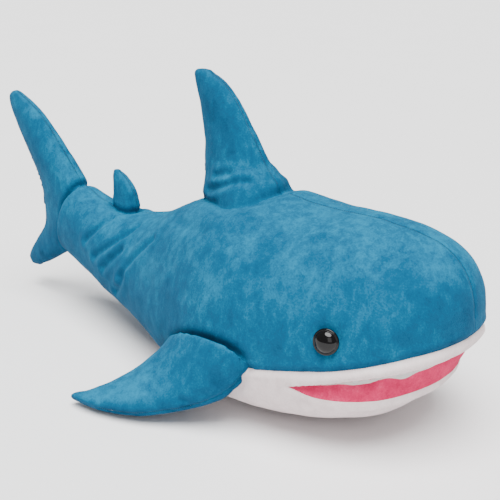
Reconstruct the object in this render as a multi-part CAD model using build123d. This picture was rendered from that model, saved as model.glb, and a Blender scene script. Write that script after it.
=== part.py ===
from build123d import *
import math
import os

# A stuffed velvet shark that lies on its belly.
# Frame: millimetres, +X towards the nose, +Y to the shark's left, +Z up.
# The origin is on the floor, under the middle of the shark's length.

# ---------------------------------------------------------------- driving dimensions

FABRIC = 3.0  # short-pile velvet with its nap, flattened by the filling
FILL_GAP = 0.3  # the filling stops this far inside the velvet
BODY_GAP = 0.4  # clear gap between a turning fin root and what it turns in
RECESS_GAP = 1.0  # the same gap where a fin root sits in a hollow of the body

# Body stations from the nose to the tail root: x, half width, top z, bottom z.
# The belly goes a little below the floor here and is cut flat at z = 0.
BODY_STATIONS = [
    (480.0, 16.0, 203.0, 170.0),
    (470.0, 52.0, 233.0, 138.0),
    (440.0, 90.0, 265.0, 88.0),
    (392.0, 127.0, 281.0, 40.0),
    (325.0, 152.0, 288.0, 13.0),
    (243.0, 166.0, 288.0, -1.0),
    (146.0, 162.0, 292.0, -4.0),
    (38.0, 128.0, 266.0, 6.0),
    (-80.0, 89.0, 214.0, 31.0),
    (-203.0, 61.0, 206.0, 64.0),
    (-340.0, 36.0, 238.0, 112.0),
]
WIDEST_AT = 0.34  # height of the widest line, as a share of the section's height

# Tail hinge: an upright line through the thick end of the tail.
TAIL_HINGE_X = -120.0
TAIL_ROOT_RADIUS = 82.0
TAIL_CLEAR_DEG = 24.0  # the trunk's lips are cut back by this much each side

# Tail fin hinge: a line that leans forward with the end of the tail.
TAIL_END_TOP = (-280.0, 0.0, 229.0)
TAIL_END_BOTTOM = (-325.0, 0.0, 96.0)
TAIL_END_GAP = 2.0

# White belly: its edge, from the point under the tail to the nose, seen from the side.
BELLY_EDGE = [
    (-110.0, 18.0),
    (-40.0, 26.0),
    (60.0, 35.0),
    (140.0, 64.0),
    (232.0, 98.0),
    (289.0, 111.0),
    (358.0, 126.0),
    (405.0, 139.0),
    (457.0, 156.0),
    (500.0, 168.0),
]

# Mouth: upper and lower edges of the pink crescent, from its corner forward.
MOUTH_UPPER = [(308.0, 94.0), (359.0, 110.0), (399.0, 122.0), (436.0, 131.0), (472.0, 142.0), (510.0, 146.0)]
MOUTH_LOWER = [(308.0, 94.0), (343.0, 85.0), (397.0, 87.0), (436.0, 93.0), (472.0, 108.0), (510.0, 116.0)]

# Eyes: glossy domes with a stem through the velvet and a washer behind it.
EYE_CENTRE = (354.0, 138.5, 165.0)
EYE_NORMAL = (0.29, 0.93, 0.21)
EYE_RADIUS = 17.0
EYE_HEIGHT = 10.0
EYE_RIM = 2.0
EYE_STEM_RADIUS = 3.0
EYE_STEM_LENGTH = 20.0
WASHER_RADIUS = 13.0
WASHER_THICKNESS = 3.0
WASHER_DEPTH = 7.0  # top of the washer below the velvet's outer face

# Fins. Each station is leading point, trailing point, half thickness,
# and the way in which the fin is thick.
SIDEWAYS = (0.0, 1.0, 0.0)
DORSAL_FIN = [
    ((157.0, 0.0, 307.0), (16.0, 0.0, 277.0), 37.0, SIDEWAYS),
    ((136.0, 0.0, 333.0), (21.0, 0.0, 309.0), 30.0, SIDEWAYS),
    ((113.0, 0.0, 372.0), (22.0, 0.0, 349.0), 25.0, SIDEWAYS),
    ((88.0, 0.0, 411.0), (14.0, 0.0, 398.0), 20.0, SIDEWAYS),
    ((64.0, 0.0, 434.0), (6.0, 0.0, 425.0), 15.0, SIDEWAYS),
    ((38.0, 0.0, 449.0), (2.0, 0.0, 444.0), 9.0, SIDEWAYS),
    ((20.0, 0.0, 455.0), (6.0, 0.0, 453.0), 4.5, SIDEWAYS),
]
SECOND_DORSAL_FIN = [
    ((-137.0, 0.0, 219.0), (-199.0, 0.0, 214.0), 14.0, SIDEWAYS),
    ((-142.0, 0.0, 237.0), (-196.0, 0.0, 231.0), 12.0, SIDEWAYS),
    ((-153.0, 0.0, 252.0), (-195.0, 0.0, 248.0), 10.0, SIDEWAYS),
    ((-166.0, 0.0, 264.0), (-194.0, 0.0, 261.0), 7.0, SIDEWAYS),
    ((-178.0, 0.0, 270.0), (-191.0, 0.0, 269.0), 4.5, SIDEWAYS),
]
TAIL_FIN = [
    ((-450.0, 0.0, 377.0), (-466.0, 0.0, 377.0), 5.0, SIDEWAYS),
    ((-425.0, 0.0, 364.0), (-477.0, 0.0, 364.0), 11.0, SIDEWAYS),
    ((-386.0, 0.0, 338.0), (-474.0, 0.0, 338.0), 17.0, SIDEWAYS),
    ((-342.0, 0.0, 298.0), (-451.0, 0.0, 298.0), 22.0, SIDEWAYS),
    ((-308.0, 0.0, 262.0), (-430.0, 0.0, 262.0), 25.0, SIDEWAYS),
    ((-288.0, 0.0, 230.0), (-412.0, 0.0, 230.0), 27.0, SIDEWAYS),
    ((-291.0, 0.0, 198.0), (-399.0, 0.0, 198.0), 27.0, SIDEWAYS),
    ((-302.0, 0.0, 165.0), (-396.0, 0.0, 165.0), 26.0, SIDEWAYS),
    ((-313.0, 0.0, 132.0), (-399.0, 0.0, 132.0), 24.0, SIDEWAYS),
    ((-328.0, 0.0, 98.0), (-427.0, 0.0, 98.0), 19.0, SIDEWAYS),
    ((-364.0, 0.0, 74.0), (-446.0, 0.0, 74.0), 16.0, SIDEWAYS),
    ((-398.0, 0.0, 54.0), (-457.0, 0.0, 54.0), 11.0, SIDEWAYS),
    ((-420.0, 0.0, 44.0), (-452.0, 0.0, 44.0), 6.0, SIDEWAYS),
]

# Left pectoral fin: slices parallel to its hinge line, stepping outwards and down.
# Each slice is its step along PECTORAL_STEP, then x and height along PECTORAL_RISE of its
# leading and trailing points, and its half thickness.
PECTORAL_STEP = Vector(0.0, 0.8, -0.6)
PECTORAL_RISE = Vector(0.0, 0.6, 0.8)
PECTORAL_SLICES = [
    (89.4, (230.0, 171.0), (78.0, 160.0), 28.0),
    (108.0, (206.0, 160.0), (62.0, 152.0), 27.0),
    (127.0, (183.0, 153.0), (52.0, 149.0), 25.0),
    (146.0, (159.0, 151.0), (42.0, 150.0), 22.5),
    (165.0, (134.0, 153.0), (32.0, 154.0), 20.0),
    (180.0, (110.0, 157.0), (21.0, 158.0), 17.0),
    (191.0, (86.0, 161.0), (8.0, 162.0), 13.0),
    (199.0, (60.0, 165.0), (6.0, 165.0), 8.0),
]
PECTORAL_SEAM_MARGIN = 60.0

MAKE_ROOM = 600.0  # larger than the shark in every direction

os.makedirs("parts", exist_ok=True)


# ---------------------------------------------------------------- shared shapes

def through_width(face):
    """Solid that runs from the shark's right side to its left side."""
    moved = face.moved(Location((0, -MAKE_ROOM, 0)))
    return Solid.extrude(moved, Vector(0, 2 * MAKE_ROOM, 0))


def body_section(station, inset):
    """Closed egg-shaped wire: two half ellipses that meet at the widest line."""
    x, half_width, top, bottom = station
    widest = bottom + WIDEST_AT * (top - bottom)
    width = half_width - inset
    plane = Plane(origin=(x, 0, widest), x_dir=(0, 1, 0), z_dir=(1, 0, 0))
    upper = Edge.make_ellipse(width, top - inset - widest, plane, 0, 180)
    lower = Edge.make_ellipse(width, widest - bottom - inset, plane, 180, 360)
    return Wire([upper, lower])


def body_solid(inset):
    """Whole body from nose to tail root, with its belly cut flat."""
    first = BODY_STATIONS[0]
    stations = [(first[0] - inset, *first[1:]), *BODY_STATIONS[1:]]
    body = Solid.make_loft([body_section(station, inset) for station in stations])
    above_floor = Box(2 * MAKE_ROOM, 2 * MAKE_ROOM, MAKE_ROOM, align=(Align.CENTER, Align.CENTER, Align.MIN))
    return body & above_floor.moved(Location((0, 0, inset)))


def fin_frame(station):
    """Centre, half chord and plane of one fin station; the plane's X runs to the leading edge."""
    lead, trail, half, thick_way = station
    lead = Vector(*lead)
    trail = Vector(*trail)
    chord = lead - trail
    normal = chord.cross(Vector(*thick_way))
    plane = Plane(origin=(lead + trail) * 0.5, x_dir=chord, z_dir=normal)
    return plane, chord.length / 2, half


def fin_blade(stations, inset, shift_root):
    """Fin lofted through ellipses from its hinge line to its tip."""
    wires = []
    centres = [fin_frame(station)[0].origin for station in stations]
    for number, station in enumerate(stations):
        plane, half_chord, half = fin_frame(station)
        side_inset = inset
        neighbour = None
        if number == len(stations) - 1:
            neighbour = centres[-2]
        if number == 0 and shift_root:
            neighbour = centres[1]
        if neighbour:
            inwards = (neighbour - plane.origin).normalized() * inset
            plane = Plane(origin=plane.origin + inwards, x_dir=plane.x_dir, z_dir=plane.z_dir)
            side_inset = min(inset, half / 2)
        wires.append(Wire.make_ellipse(half_chord - side_inset, half - side_inset, plane))
    return Solid.make_loft(wires)


def root_spindle(stations, grow, turn=360):
    """Ellipse turned about the hinge line: the space that a fin's root sweeps as it leans."""
    plane, half_chord, half = fin_frame(stations[0])
    arc = Edge.make_ellipse(half_chord + grow, half + grow, plane, 0, 180)
    chord_line = Edge.make_line(arc @ 1, arc @ 0)
    return Solid.revolve(Face(Wire([arc, chord_line])), turn, Axis(plane.origin, plane.x_dir))


def ball_root(stations, grow, turn):
    """The same half spindle as a stretched half ball, which suits the solid filling."""
    plane, half_chord, half = fin_frame(stations[0])
    side = Align.MAX if turn > 0 else Align.MIN
    half_ball = Sphere(1) & Box(4, 4, 2, align=(Align.CENTER, Align.CENTER, side))
    return plane * scale(half_ball, by=(half_chord + grow, half + grow, half + grow))


def rounded_fin(stations, inset, make_root=root_spindle):
    """Blade with a half spindle below its hinge line, so that it can lean in its hollow."""
    plane = fin_frame(stations[0])[0]
    ahead = fin_frame(stations[1])[0].origin - plane.origin
    root = make_root(stations, -inset, 180)
    if (root.center() - plane.origin).dot(ahead) > 0:
        root = make_root(stations, -inset, -180)
    return fin_blade(stations, inset, shift_root=False) + root


def mirrored(shape):
    """The same shape on the shark's right side."""
    return shape.mirror(Plane.XZ)


def only_solid(shape):
    """The largest solid of a result, so that each node holds one clean piece."""
    return max(shape.solids(), key=lambda solid: solid.volume)


def write_node(name, shape):
    """Write one piece to its own file."""
    solid = only_solid(shape)
    export_step(solid, f"parts/{name}.step")
    print(f"{name:34s} {solid.volume / 1000:9.1f} cm3")
    return solid


# ---------------------------------------------------------------- cutting shapes

left_half = Box(2 * MAKE_ROOM, MAKE_ROOM, 2 * MAKE_ROOM, align=(Align.CENTER, Align.MIN, Align.CENTER))
right_half = Box(2 * MAKE_ROOM, MAKE_ROOM, 2 * MAKE_ROOM, align=(Align.CENTER, Align.MAX, Align.CENTER))


def tail_zone(radius, clear_deg):
    """Everything behind the tail hinge, with an upright round front about it."""
    lean = MAKE_ROOM * math.tan(math.radians(clear_deg))
    corners = [
        (-MAKE_ROOM, -MAKE_ROOM),
        (TAIL_HINGE_X + lean, -MAKE_ROOM),
        (TAIL_HINGE_X, 0),
        (TAIL_HINGE_X + lean, MAKE_ROOM),
        (-MAKE_ROOM, MAKE_ROOM),
    ]
    outline = Wire.make_polygon([Vector(x, y, -MAKE_ROOM) for x, y in corners], close=True)
    behind = Solid.extrude(Face(outline), Vector(0, 0, 2 * MAKE_ROOM))
    front = Cylinder(radius, 2 * MAKE_ROOM).moved(Location((TAIL_HINGE_X, 0, 0)))
    return behind + front


def ahead_of_tail_fin():
    """Everything ahead of the leaning plane where the tail ends and the tail fin starts."""
    top = Vector(*TAIL_END_TOP)
    along = (top - Vector(*TAIL_END_BOTTOM)).normalized()
    forward = Vector(along.Z, 0, -along.X)
    start = top + forward * TAIL_END_GAP
    plane = Plane(origin=start, x_dir=(0, 1, 0), z_dir=forward)
    block = Box(2 * MAKE_ROOM, 2 * MAKE_ROOM, 2 * MAKE_ROOM, align=(Align.CENTER, Align.CENTER, Align.MIN))
    return plane * block


def belly_zone():
    """Everything below the edge between the blue back and the white belly."""
    edge = Edge.make_spline([Vector(x, 0, z) for x, z in BELLY_EDGE])
    low = -MAKE_ROOM
    first_x = BELLY_EDGE[0][0]
    last_x = BELLY_EDGE[-1][0]
    down = Edge.make_line(edge @ 1, Vector(last_x, 0, low))
    back = Edge.make_line(Vector(last_x, 0, low), Vector(first_x, 0, low))
    up = Edge.make_line(Vector(first_x, 0, low), edge @ 0)
    return through_width(Face(Wire([edge, down, back, up])))


def mouth_zone():
    """The crescent of the mouth, through the whole width."""
    upper = Edge.make_spline([Vector(x, 0, z) for x, z in MOUTH_UPPER])
    lower = Edge.make_spline([Vector(x, 0, z) for x, z in MOUTH_LOWER])
    front = Edge.make_line(upper @ 1, lower @ 1)
    return through_width(Face(Wire([upper, front, lower])))


# ---------------------------------------------------------------- eyes

def eye_plane():
    """Plane on the left cheek: its Z axis points out of the velvet."""
    return Plane(origin=EYE_CENTRE, x_dir=(0, 0, 1), z_dir=EYE_NORMAL)


def eye_solid():
    """Low dome with an upright rim and a stem, as one moulded piece."""
    sphere_radius = (EYE_RADIUS**2 + (EYE_HEIGHT - EYE_RIM) ** 2) / (2 * (EYE_HEIGHT - EYE_RIM))
    sphere = Sphere(sphere_radius).moved(Location((0, 0, EYE_HEIGHT - sphere_radius)))
    disc = Cylinder(EYE_RADIUS, EYE_HEIGHT, align=(Align.CENTER, Align.CENTER, Align.MIN))
    stem = Cylinder(EYE_STEM_RADIUS, EYE_STEM_LENGTH, align=(Align.CENTER, Align.CENTER, Align.MAX))
    return eye_plane() * ((sphere & disc) + stem)


def washer_solid():
    """Round washer behind the velvet, on the eye's stem."""
    disc = Cylinder(WASHER_RADIUS, WASHER_THICKNESS, align=(Align.CENTER, Align.CENTER, Align.MAX))
    hole = Cylinder(EYE_STEM_RADIUS + 0.05, 4 * WASHER_THICKNESS)
    return eye_plane() * Location((0, 0, -WASHER_DEPTH)) * (disc - hole)


def stem_clearance():
    """Room for the eye's stem and washer inside the filling."""
    stem = Cylinder(EYE_STEM_RADIUS + 0.1, EYE_STEM_LENGTH + 1, align=(Align.CENTER, Align.CENTER, Align.MAX))
    pocket_depth = WASHER_DEPTH + WASHER_THICKNESS + 0.5
    pocket = Cylinder(WASHER_RADIUS + 0.5, pocket_depth, align=(Align.CENTER, Align.CENTER, Align.MAX))
    return eye_plane() * stem, eye_plane() * pocket


# ---------------------------------------------------------------- body: trunk and tail

def fin_recesses():
    """Hollows in the body that the roots of its four fins sit in."""
    pectoral = root_spindle(pectoral_stations(), RECESS_GAP)
    dorsal = root_spindle(DORSAL_FIN, RECESS_GAP)
    second = root_spindle(SECOND_DORSAL_FIN, RECESS_GAP)
    return [pectoral, mirrored(pectoral), dorsal, second]


def without(shape, cutters):
    """Take each cutter away in turn."""
    for cutter in cutters:
        shape = shape - cutter
    return shape


def build_trunk_and_tail():
    """Velvet panels, mouth, filling, eyes and washers."""
    outer = body_solid(0)
    inner = body_solid(FABRIC)
    filling = body_solid(FABRIC + FILL_GAP)
    recesses = fin_recesses()
    shell = outer - inner

    trunk_cut = tail_zone(TAIL_ROOT_RADIUS + BODY_GAP, TAIL_CLEAR_DEG)
    tail_keep = tail_zone(TAIL_ROOT_RADIUS, 0)
    tail_end = ahead_of_tail_fin()

    stem, pocket = stem_clearance()
    stems = [stem, mirrored(stem)]
    pockets = [pocket, mirrored(pocket)]

    trunk_shell = without(shell, [trunk_cut, *recesses, *stems])
    below = belly_zone()
    mouth = mouth_zone()
    back = trunk_shell - below
    white = trunk_shell & below
    write_node("back_panel_left", back & left_half)
    write_node("back_panel_right", back & right_half)
    write_node("belly_panel", white - mouth)
    write_node("mouth_lining", white & mouth)
    write_node("trunk_filling", without(filling, [trunk_cut, *recesses, *stems, *pockets]))

    eye = eye_solid()
    washer = washer_solid()
    write_node("eye_left", eye)
    write_node("eye_right", mirrored(eye))
    write_node("eye_washer_left", washer)
    write_node("eye_washer_right", mirrored(washer))

    tail_shell = without(shell & tail_keep & tail_end, recesses)
    write_node("tail_panel_left", tail_shell & left_half)
    write_node("tail_panel_right", tail_shell & right_half)
    write_node("tail_filling", without(filling & tail_keep & tail_end, recesses))


# ---------------------------------------------------------------- fins

def build_upright_fin(name, velvet, filling):
    """A fin that stands in the shark's middle plane: left and right velvet, and filling."""
    write_node(f"{name}_panel_left", velvet & left_half)
    write_node(f"{name}_panel_right", velvet & right_half)
    write_node(f"{name}_filling", filling)


def build_dorsal_fin(name, stations):
    """Dorsal fin with a rounded root that leans in a hollow of the back."""
    velvet = rounded_fin(stations, 0) - rounded_fin(stations, FABRIC)
    build_upright_fin(name, velvet, rounded_fin(stations, FABRIC + FILL_GAP, ball_root))


def build_tail_fin():
    """Crescent fin in level slices, from its upper tip to its lower tip."""
    velvet = fin_blade(TAIL_FIN, 0, shift_root=True) - fin_blade(TAIL_FIN, FABRIC, shift_root=True)
    build_upright_fin("tail_fin", velvet, fin_blade(TAIL_FIN, FABRIC + FILL_GAP, shift_root=True))


def pectoral_stations():
    """The pectoral slices as leading point, trailing point, half thickness and thick way."""
    stations = []
    for step, (lead_x, lead_rise), (trail_x, trail_rise), half in PECTORAL_SLICES:
        foot = PECTORAL_STEP * step
        lead = Vector(lead_x, 0, 0) + foot + PECTORAL_RISE * lead_rise
        trail = Vector(trail_x, 0, 0) + foot + PECTORAL_RISE * trail_rise
        stations.append((lead, trail, half, PECTORAL_RISE))
    return stations


def above_pectoral_seam(stations):
    """Everything above the bent sheet through the middle of the left fin's slices."""
    middles = [fin_frame(station)[0].origin for station in stations]
    first = middles[0] - PECTORAL_STEP * PECTORAL_SEAM_MARGIN
    last = middles[-1] + PECTORAL_STEP * PECTORAL_SEAM_MARGIN
    line = [Vector(-MAKE_ROOM, point.Y, point.Z) for point in [first, *middles, last]]
    up = PECTORAL_RISE * MAKE_ROOM
    outline = Wire.make_polygon([*line, line[-1] + up, line[0] + up], close=True)
    return Solid.extrude(Face(outline), Vector(2 * MAKE_ROOM, 0, 0))


def build_pectoral_fins():
    """Left and right pectoral fins: upper and lower velvet, and filling."""
    stations = pectoral_stations()
    velvet = rounded_fin(stations, 0) - rounded_fin(stations, FABRIC)
    above = above_pectoral_seam(stations)
    pieces = {
        "upper_panel": velvet & above,
        "lower_panel": velvet - above,
        "filling": rounded_fin(stations, FABRIC + FILL_GAP, ball_root),
    }
    for piece, shape in pieces.items():
        solid = only_solid(shape)
        write_node(f"pectoral_fin_left_{piece}", solid)
        write_node(f"pectoral_fin_right_{piece}", mirrored(solid))


build_trunk_and_tail()
build_dorsal_fin("dorsal_fin", DORSAL_FIN)
build_dorsal_fin("second_dorsal_fin", SECOND_DORSAL_FIN)
build_tail_fin()
build_pectoral_fins()
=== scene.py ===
# %% [markdown]
# A plush shark is velvet sewn into a bag and stuffed with loose fibre. The hard facts, such as its
# size and where its tail and fins bend, are already settled in the packed model, so the first step
# is to load that model. Every velvet piece made later has to stay close to it.

import math

import bmesh
import bpy
import numpy as np
from mathutils import Matrix, Vector, noise
from mathutils.bvhtree import BVHTree


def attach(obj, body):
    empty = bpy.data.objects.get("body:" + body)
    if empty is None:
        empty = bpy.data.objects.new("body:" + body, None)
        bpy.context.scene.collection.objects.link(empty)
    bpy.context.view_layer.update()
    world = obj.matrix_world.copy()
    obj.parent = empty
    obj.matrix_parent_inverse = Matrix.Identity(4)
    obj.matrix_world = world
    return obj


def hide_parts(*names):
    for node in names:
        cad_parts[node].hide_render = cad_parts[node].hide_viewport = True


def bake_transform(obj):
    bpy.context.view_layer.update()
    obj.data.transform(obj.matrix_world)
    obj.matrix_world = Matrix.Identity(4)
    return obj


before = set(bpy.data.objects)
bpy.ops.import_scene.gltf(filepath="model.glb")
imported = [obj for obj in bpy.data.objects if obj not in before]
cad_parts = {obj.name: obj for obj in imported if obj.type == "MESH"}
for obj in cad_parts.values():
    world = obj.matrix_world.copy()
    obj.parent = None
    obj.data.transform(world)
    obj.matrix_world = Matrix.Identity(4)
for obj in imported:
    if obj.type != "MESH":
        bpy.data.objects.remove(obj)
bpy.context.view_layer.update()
MM = 0.001
scene = bpy.context.scene

# %% [markdown]
# Soft forms are easiest to describe as a row of cross sections, like the ribs of a boat. A smooth
# skin needs many more sections than anyone wants to type, so a cubic curve is drawn through the few
# that matter. A spline object could do this too, but on plain numbers it also works for widths.

# %% Smooth curves through a few rows of numbers
def through(rows, count):
    """Cubic curve through rows of numbers, read at evenly spaced places."""
    rows = np.asarray(rows, float)
    slopes = np.gradient(rows, axis=0)
    place = np.linspace(0, len(rows) - 1, count)
    first = np.minimum(place.astype(int), len(rows) - 2)
    f = (place - first)[:, None]
    start = (2 * f**3 - 3 * f**2 + 1) * rows[first] + (f**3 - 2 * f**2 + f) * slopes[first]
    end = (3 * f**2 - 2 * f**3) * rows[first + 1] + (f**3 - f**2) * slopes[first + 1]
    return start + end


def height_along(points):
    """Function that gives the height of a smooth line at any x."""
    line = through(sorted(points), 400)
    return lambda x: np.interp(x, line[:, 0], line[:, 1])


def smoothstep(low, high, value):
    """0 below low, 1 above high, and a soft step between them."""
    part = np.clip((value - low) / (high - low), 0, 1)
    return part * part * (3 - 2 * part)


print("half way:", through([(0,), (1,)], 3)[1, 0], smoothstep(0, 1, 0.5))

# %% [markdown]
# The skin itself is a tube of rings closed at both ends. It could be modelled by hand with a
# subdivided cage, but rings keep the widths and heights of the real shark easy to read and change.

# %% A closed skin from rings of points
def skin(name, rings):
    """Closed mesh through rings of points, in metres, with both ends closed by a fan."""
    rings = np.asarray(rings)
    rows, around = rings.shape[:2]
    ends = np.array([rings[0].mean(axis=0), rings[-1].mean(axis=0)])
    points = np.vstack([rings.reshape(-1, 3), ends])
    faces = []
    for row in range(rows - 1):
        for col in range(around):
            nxt = (col + 1) % around
            faces.append((row * around + col, row * around + nxt,
                          (row + 1) * around + nxt, (row + 1) * around + col))
    for col in range(around):
        nxt = (col + 1) % around
        faces.append((rows * around, nxt, col))
        last = (rows - 1) * around
        faces.append((rows * around + 1, last + col, last + nxt))
    mesh = bpy.data.meshes.new(name)
    mesh.from_pydata(points.tolist(), [], faces)
    outwards(mesh)
    piece = bpy.data.objects.new(name, mesh)
    scene.collection.objects.link(piece)
    return piece


def outwards(mesh):
    """Merge doubled points and turn all faces to the outside."""
    work = bmesh.new()
    work.from_mesh(mesh)
    bmesh.ops.remove_doubles(work, verts=work.verts[:], dist=1e-6)
    bmesh.ops.recalc_face_normals(work, faces=work.faces[:])
    work.to_mesh(mesh)
    work.free()


print("ready: skin, outwards")

# %% [markdown]
# Cloth stretches and folds well only on a net of even little squares, so a Remesh modifier remakes
# each skin before it is stuffed. Subdivision then smooths what the cloth made. After each modifier
# its result is kept as a plain mesh, because everything that follows moves single points.

# %% Modifiers turned into plain meshes
def baked(piece):
    """Turn what the modifiers show into the piece's own mesh, and drop the modifiers."""
    seen = piece.evaluated_get(bpy.context.evaluated_depsgraph_get())
    mesh = bpy.data.meshes.new_from_object(seen)
    old = piece.data
    piece.modifiers.clear()
    piece.data = mesh
    mesh.name = piece.name
    bpy.data.meshes.remove(old)
    return piece


def even_grid(piece, size):
    """Remake the skin in even little squares, which cloth needs."""
    step = piece.modifiers.new("even grid", "REMESH")
    step.mode = "VOXEL"
    step.voxel_size = size
    return baked(piece)


def finer(piece):
    """One level of subdivision."""
    step = piece.modifiers.new("finer", "SUBSURF")
    step.levels = 1
    step.render_levels = 1
    return baked(piece)


print("ready: baked, even_grid, finer")

# %% [markdown]
# Moving single points is quick when they are read and written all at once as one array. These
# three helpers do that, and every groove, fold and lip later on goes through them.

# %% Points as arrays
def points_of(piece):
    """The points of a piece as an array, in metres."""
    flat = np.empty(len(piece.data.vertices) * 3)
    piece.data.vertices.foreach_get("co", flat)
    return flat.reshape(-1, 3)


def normals_of(piece):
    """The outward directions at the points of a piece."""
    flat = np.empty(len(piece.data.vertices) * 3)
    piece.data.vertices.foreach_get("normal", flat)
    return flat.reshape(-1, 3)


def put_points(piece, points):
    """Write changed points back to a piece."""
    piece.data.vertices.foreach_set("co", np.ascontiguousarray(points).ravel())
    piece.data.update()


print("ready: points_of, normals_of, put_points")

# %% [markdown]
# Stuffing pushes a velvet bag outwards between its seams. Blender's cloth does the same with a
# pressure inside a closed skin. The seams and the flat underside are pinned, gravity is off because
# the fibre carries the cloth, and no point may move further than a set cap, so that the shark keeps
# its size. A short run of twenty steps is enough to plump the panels.

# %% Stuffing with cloth and pressure
STUFFING_STEPS = 20


def stuff(piece, pinned, pressure, cap):
    """Let pressure plump the skin, with pinned points held and each move capped."""
    before = points_of(piece)
    held = piece.vertex_groups.new(name="held")
    held.add([int(i) for i in np.nonzero(pinned)[0]], 1.0, "REPLACE")
    cloth = piece.modifiers.new("cloth", "CLOTH")
    cloth.settings.quality = 5
    cloth.settings.mass = 0.25
    cloth.settings.tension_stiffness = 15
    cloth.settings.compression_stiffness = 15
    cloth.settings.bending_stiffness = 1.5
    cloth.settings.use_pressure = True
    cloth.settings.uniform_pressure_force = pressure
    cloth.settings.vertex_group_mass = "held"
    cloth.settings.effector_weights.gravity = 0
    cloth.collision_settings.use_self_collision = False
    for step in range(1, STUFFING_STEPS + 1):
        scene.frame_set(step)
    baked(piece)
    scene.frame_set(1)
    piece.vertex_groups.clear()
    move = points_of(piece) - before
    length = np.linalg.norm(move, axis=1, keepdims=True)
    move *= np.minimum(1, cap / np.maximum(length, 1e-9))
    put_points(piece, before + move)
    print(piece.name, "moved up to", round(float(length.max() / MM), 1), "mm, capped at", cap / MM)


print("stuffing steps:", STUFFING_STEPS)

# %% [markdown]
# The body is one long bag: a blunt head, the widest part over the pectoral fins and a slim tail
# stock. Its sections are egg shapes, wide low down, because the stuffing settles. The last sections
# lean with the end of the stock, which closes in a round end over the tail fin.

# %% The body's sections
# Evenly spaced along a quarter turn from the nose: half width, top, bottom, in millimetres.
BODY_ROWS = [
    (0, 186, 186),
    (52, 234, 137),
    (90, 267, 88),
    (127, 281, 42),
    (152, 288, 15),
    (166, 288, 0),
    (162, 292, -4),
    (128, 266, 3),
    (89, 214, 31),
    (61, 206, 64),
    (35, 236, 114),
]
NOSE_X = 480
BODY_REACH = 810
STOCK_END_X = -301
STOCK_LEAN = 45 / 133  # how far the end of the stock leans, per unit of height
STOCK_END_ROUND = 13
BODY_RINGS = 110
END_RINGS = 12
RING_POINTS = 120
UPPER_ROUND = 2.12  # 2 is an ellipse, more is squarer
LOWER_ROUND = 2.3
BODY_GRID = 0.0055  # size of the even squares, in metres
FLOOR_GAP = 0.4  # millimetres that the velvet stays above the floor


def body_rings():
    """Rings of the body from nose to stock end, in metres."""
    last = math.acos(1 - (NOSE_X - STOCK_END_X) / BODY_REACH) / (math.pi / 2)
    turn = np.linspace(0.012, last, BODY_RINGS)
    table = through(BODY_ROWS, 401)
    place = np.linspace(0, 1, 401)
    rows = np.array([np.interp(turn, place, table[:, i]) for i in range(3)]).T
    x = NOSE_X - BODY_REACH * (1 - np.cos(turn * math.pi / 2))
    shrink = np.ones(len(x))
    end = np.linspace(0.1, 1, END_RINGS)
    x = np.concatenate([x, STOCK_END_X - STOCK_END_ROUND * np.sin(end * math.pi / 2)])
    rows = np.vstack([rows, np.repeat(rows[-1:], END_RINGS, axis=0)])
    shrink = np.concatenate([shrink, np.maximum(np.cos(end * math.pi / 2) ** 0.7, 0.03)])
    angle = np.arange(RING_POINTS) * 2 * math.pi / RING_POINTS
    rings = []
    for xc, (half, top, bottom), size in zip(x, rows, shrink):
        share = 0.34 + 0.14 * smoothstep(50, -250, xc)
        widest = bottom + share * (top - bottom)
        middle = (top + bottom) / 2
        power = np.where(np.sin(angle) > 0, 2 / UPPER_ROUND, 2 / LOWER_ROUND)
        y = half * np.sign(np.cos(angle)) * np.abs(np.cos(angle)) ** power
        tall = np.where(np.sin(angle) > 0, top - widest, widest - bottom)
        z = widest + tall * np.sign(np.sin(angle)) * np.abs(np.sin(angle)) ** power
        y = y * size
        z = middle + (z - middle) * size
        lean = STOCK_LEAN * smoothstep(-190, -290, xc)
        rings.append(np.column_stack([xc + lean * (z - middle), y, np.maximum(z, FLOOR_GAP)]))
    return np.array(rings) * MM


body = even_grid(skin("body", body_rings()), BODY_GRID)
print("body skin:", len(body.data.polygons), "faces")

# %% [markdown]
# Where the panels meet matters more than anything else for the face: the white belly runs forward
# as two lips, and the pink mouth is a long crescent between them. Each edge is a line seen from the
# side, so it is kept as a height for every x.

# %% Edges of the panels, seen from the side
BELLY_EDGE = [(-110, 20), (-40, 32), (60, 42), (140, 64), (232, 98), (289, 111), (358, 126),
              (405, 139), (457, 156), (500, 168)]
MOUTH_UPPER = [(308, 94), (359, 110), (399, 122), (436, 131), (472, 142), (510, 146)]
MOUTH_LOWER = [(308, 94), (343, 85), (397, 87), (436, 93), (472, 108), (510, 116)]
MOUTH_CORNER_X = 308
belly_edge = height_along(BELLY_EDGE)
mouth_upper = height_along(MOUTH_UPPER)
mouth_lower = height_along(MOUTH_LOWER)


def gap_to(points, line):
    """Distance in millimetres from each point to a chain of straight runs."""
    line = np.asarray(line, float)
    best = np.full(len(points), 1e9)
    for a, b in zip(line[:-1], line[1:]):
        run = b - a
        part = np.clip(((points - a) @ run) / (run @ run), 0, 1)
        best = np.minimum(best, np.linalg.norm(points - a - part[:, None] * run, axis=1))
    return best


opening = float(mouth_upper(NOSE_X) - mouth_lower(NOSE_X))
print("mouth opening at the nose:", round(opening, 1), "mm")

# %% [markdown]
# On the real shark the stuffing rounds the body out, but not at the seams, in the mouth or where it
# rests on the floor. Those points are pinned here before the cloth is run. A copy is kept for the
# filling, since the fibre takes the shape of the plumped bag, and the velvet is made finer.

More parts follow.
